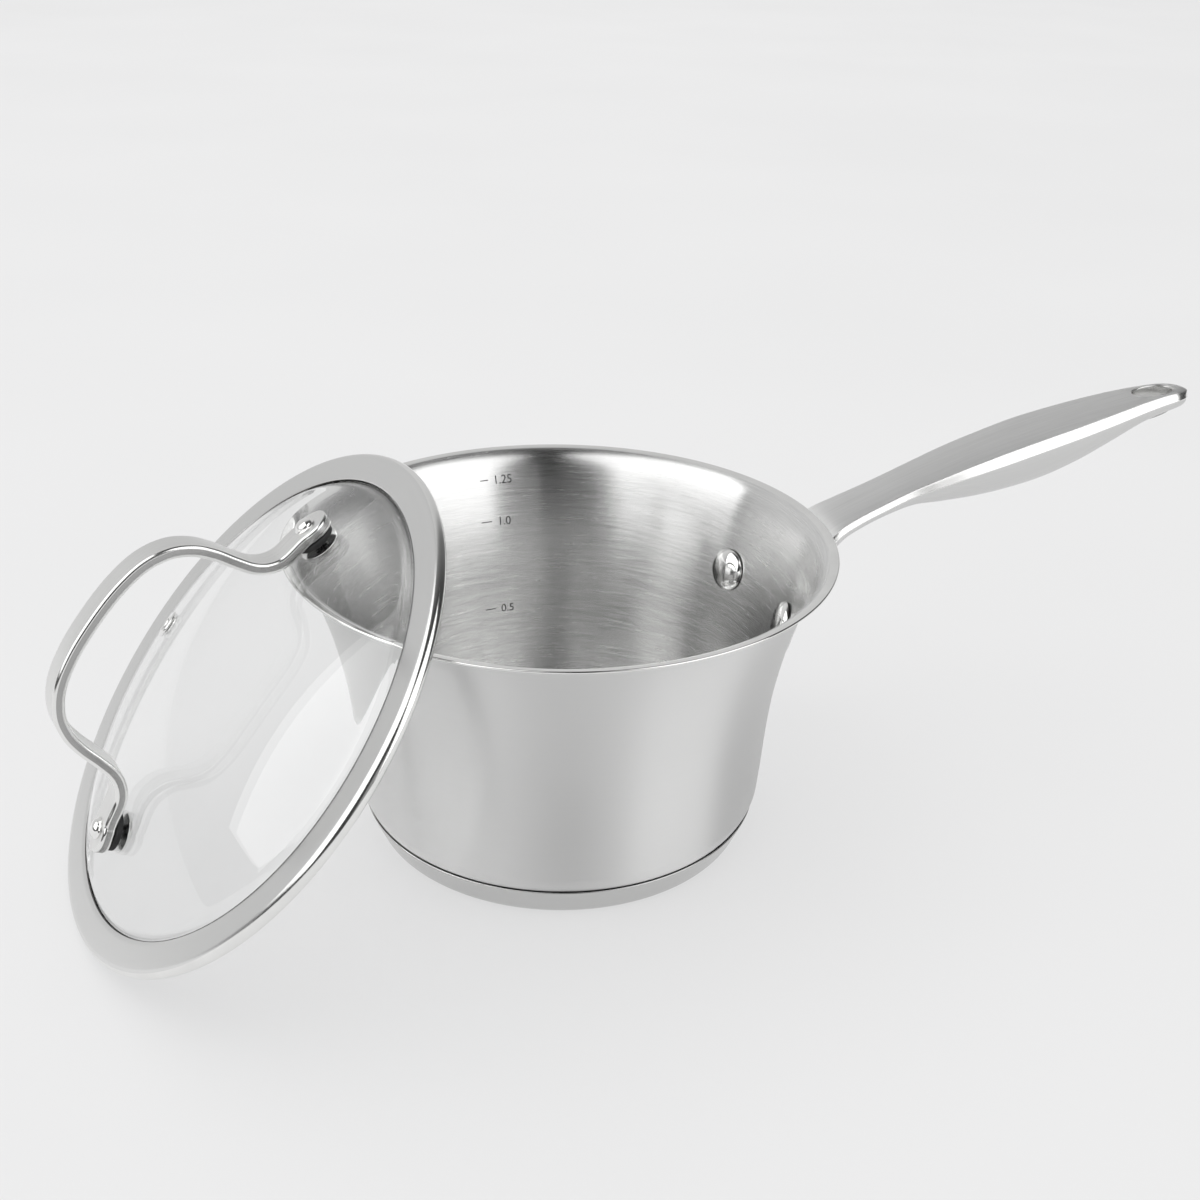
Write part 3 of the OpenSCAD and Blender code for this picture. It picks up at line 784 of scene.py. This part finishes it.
n = grid.shape[1]
FLATS, SIDES = (15, 31), (7, 23)    # columns of the ring on the bar's broad faces and narrow sides
around_bar = [0 if j in FLATS else (2 if j in SIDES else 1) for j in range(n)]
strap_mesh.polygons.foreach_set("material_index", around_bar * (len(path) - 1))
bm = bmesh.new()
bm.from_mesh(strap_mesh)
bmesh.ops.holes_fill(bm, edges=[e for e in bm.edges if e.is_boundary], sides=0)
bmesh.ops.triangulate(bm, faces=[f for f in bm.faces if len(f.verts) > 4])
bm.to_mesh(strap_mesh)
bm.free()
piece("strap_bow", finish_mesh(strap_mesh), "lid", [strap_steel, strap_edge, strap_side_shaded],
      ["lid_strap"], LID)

gasket = rounded([(2.4, 0.0, 0.1), (6.0, 0.0, 0.4), (6.0, GASKET_T, 0.4), (2.4, GASKET_T, 0.1)], 5)
washer = rounded([(2.4, -GLASS_T - 0.12, 0.1), (2.4, -GLASS_T - 1.32, 0.1), (5.4, -GLASS_T - 1.32, 0.4),
                  (6.4, -GLASS_T - 0.12, 0.15)], 5)
FOOT_Z, HEAD_Z = GLASS_T + 1.32, GASKET_T + STRAP_T
stud = np.concatenate([
    [(0, -FOOT_Z - 1.3), (1.4, -FOOT_Z - 1.28), (2.4, -FOOT_Z - 1.15), (3.1, -FOOT_Z - 0.85),
     (3.5, -FOOT_Z - 0.4), (3.6, -FOOT_Z - 0.05), (3.5, -FOOT_Z), (SHANK_R, -FOOT_Z),
     (SHANK_R, HEAD_Z + 0.02), (3.2, HEAD_Z + 0.02), (3.3, HEAD_Z + 0.12), (3.3, HEAD_Z + 0.4),
     (3.22, HEAD_Z + 0.5), (2.75, HEAD_Z + 0.66)],
    [(2.7 * math.cos(t), HEAD_Z + 0.72 + 1.48 * math.sin(t)) for t in np.radians(np.linspace(4, 90, 16))]])
stud[-1, 0] = 0.0
for angle, label in ((0, "low"), (180, "high")):
    at = LID @ on_dome(STUD_R, angle)
    for name, outline, closed, slot, material in (
            ("gasket", gasket, True, "gasket_rubber", rubber),
            ("washer", washer, True, "washer_polish", washer_steel),
            ("stud", stud, False, "stud_polish", stud_steel)):
        mesh = finish_mesh(lathe(name, outline, SMALL_AROUND, closed))
        piece(name + "_" + label, mesh, "lid", [material], ["lid_" + name + "_" + label], at)

vent = smooth([(2.3, -GLASS_T - 0.65), (2.9, -GLASS_T - 0.7), (3.5, -GLASS_T - 0.68),
               (4.0, -GLASS_T - 0.3), (3.85, -GLASS_T - 0.06), (3.02, -GLASS_T - 0.04),
               (2.98, -GLASS_T + 0.3), (2.98, -0.2), (3.02, 0.02), (4.25, 0.02), (4.5, 0.32),
               (4.15, 0.78), (3.4, 0.95), (2.65, 0.65), (2.32, 0.05), (2.3, -1.5),
               (2.3, -GLASS_T - 0.2)], 4)
vent_mesh = finish_mesh(lathe("vent", vent, SMALL_AROUND))
piece("vent_ring", vent_mesh, "lid", [vent_steel], ["vent_eyelet"],
      LID @ on_dome(VENT_R, -90))

# ---- stage --------------------------------------------------------------------------------
scene = bpy.context.scene


def staged(name, mesh, material):
    ob = bpy.data.objects.new(name, mesh)
    scene.collection.objects.link(ob)
    mesh.materials.append(material)
    return ob


floor_mesh = bpy.data.meshes.new("floor")
HALF_FLOOR = 14
corners = [(x * HALF_FLOOR, y * HALF_FLOOR, 0) for x, y in ((-1, -1), (1, -1), (1, 1), (-1, 1))]
floor_mesh.from_pydata(corners, [], [(0, 1, 2, 3)])
floor_material, nt, bsdf = new_material("floor_pale")
paper = noise_of(nt, object_of(nt), (3, 3, 3), 2.0, 0.5)
nt.links.new(colour_of(nt, paper, (0.148, 0.148, 0.148), (0.152, 0.152, 0.152)), bsdf.inputs["Base Color"])
nt.links.new(colour_of(nt, paper, (0.61, 0.61, 0.612), (0.62, 0.62, 0.622)), bsdf.inputs["Emission Color"])
bsdf.inputs["Emission Strength"].default_value = 1.0
bsdf.inputs["Roughness"].default_value = 0.75
bsdf.inputs["Specular IOR Level"].default_value = 0.2
staged("floor", floor_mesh, floor_material)


def direction_of(azimuth, elevation):
    a, e = math.radians(azimuth), math.radians(elevation)
    return Vector((math.cos(a) * math.cos(e), math.sin(a) * math.cos(e), math.sin(e)))


def softbox(name, azimuth, elevation, distance, width, height, watts):
    light = bpy.data.lights.new(name, "AREA")
    light.shape = "RECTANGLE"
    light.size, light.size_y = width, height
    light.energy = watts
    ob = bpy.data.objects.new(name, light)
    scene.collection.objects.link(ob)
    d = direction_of(azimuth, elevation)
    ob.location = d * distance + Vector((0, 0, 0.06))
    ob.rotation_mode = "QUATERNION"
    ob.rotation_quaternion = d.to_track_quat("Z", "Y")
    ob.visible_camera = False
    return ob


# a dark studio with a pale sweep behind the object: dark is what gives polished steel its lines
world = bpy.data.worlds.new("studio")
scene.world = world
world.use_nodes = True
nt = world.node_tree
background = nt.nodes["Background"]
ray = nt.nodes.new("ShaderNodeTexCoord").outputs["Generated"]
towards = nt.nodes.new("ShaderNodeVectorMath")
towards.operation = "DOT_PRODUCT"
towards.inputs[1].default_value = direction_of(100, 8)
nt.links.new(ray, towards.inputs[0])
ramp = nt.nodes.new("ShaderNodeValToRGB")
for at in (0.3, 0.5, 0.7):
    ramp.color_ramp.elements.new(at)
shades = ((0.05, 0.05), (0.46, 0.18), (0.54, 0.32), (0.64, 0.58), (0.85, 0.66))
for e, (at, v) in zip(ramp.color_ramp.elements, shades):
    e.position = at
    e.color = (v, v, v, 1)
nt.links.new(towards.outputs["Value"], ramp.inputs["Fac"])
nt.links.new(ramp.outputs["Color"], background.inputs["Color"])

softbox("softbox_right", -48, 33, 1.9, 1.75, 2.2, 18)
softbox("softbox_left", 191, 43, 1.9, 2.5, 2.3, 27)
softbox("fill_card", -84, 10, 1.9, 0.8, 1.2, 0.7)
wash = softbox("background_wash", 69, 32, 3.1, 5.0, 2.4, 23)
wash.rotation_quaternion = Vector((0, 0, 1)).to_track_quat("Z", "Y")
wash.visible_glossy = False
overhead = bpy.data.objects.new("overhead", bpy.data.lights.new("overhead", "SUN"))
overhead.data.energy = 2.1
overhead.data.angle = math.radians(75)
overhead.rotation_euler = (math.radians(-12), 0, 0)
overhead.visible_glossy = False
scene.collection.objects.link(overhead)

# pale surround far behind the floor, for views that look above the horizon
angles = np.radians(np.linspace(0, 360, 73))
SURROUND_R, SURROUND_LOW, SURROUND_HIGH = 9000, -500, 7000
ring = np.array([[(SURROUND_R * math.cos(a), SURROUND_R * math.sin(a), z)
                  for z in (SURROUND_LOW, SURROUND_HIGH)] for a in angles])
pale = bpy.data.materials.new("surround_pale")
pale.use_nodes = True
nt = pale.node_tree
nt.nodes.clear()
glow, out = nt.nodes.new("ShaderNodeEmission"), nt.nodes.new("ShaderNodeOutputMaterial")
nt.links.new(glow.outputs["Emission"], out.inputs["Surface"])
cloud = noise_of(nt, object_of(nt), (0.2, 0.2, 0.2), 1.0, 0.5)
nt.links.new(colour_of(nt, cloud, (0.74, 0.74, 0.74), (0.78, 0.78, 0.78)), glow.inputs["Color"])
surround = staged("surround", surface("surround", ring, np.zeros_like(ring)), pale)
surround.visible_glossy = surround.visible_diffuse = surround.visible_shadow = False

# ---- camera -------------------------------------------------------------------------------
camera = bpy.data.cameras.new("camera")
camera.sensor_width = 36
camera.lens = 45.951
camera.clip_start, camera.clip_end = 0.01, 60
cam = bpy.data.objects.new("camera", camera)
scene.collection.objects.link(cam)
CAMERA_AT = (-0.1443, -0.4204, 0.29607)
heading, pitch, roll = math.radians(69.5), math.radians(26.08), 0.0277
forward = Vector((math.cos(heading) * math.cos(pitch), math.sin(heading) * math.cos(pitch), -math.sin(pitch)))
right = Vector((math.sin(heading), -math.cos(heading), 0))
upward = right.cross(forward)
right, upward = (right * math.cos(roll) + upward * math.sin(roll),
                 upward * math.cos(roll) - right * math.sin(roll))
cam.matrix_world = Matrix((
    (right.x, upward.x, -forward.x, CAMERA_AT[0]), (right.y, upward.y, -forward.y, CAMERA_AT[1]),
    (right.z, upward.z, -forward.z, CAMERA_AT[2]), (0, 0, 0, 1)))
scene.camera = cam

scene.view_settings.view_transform = "Standard"
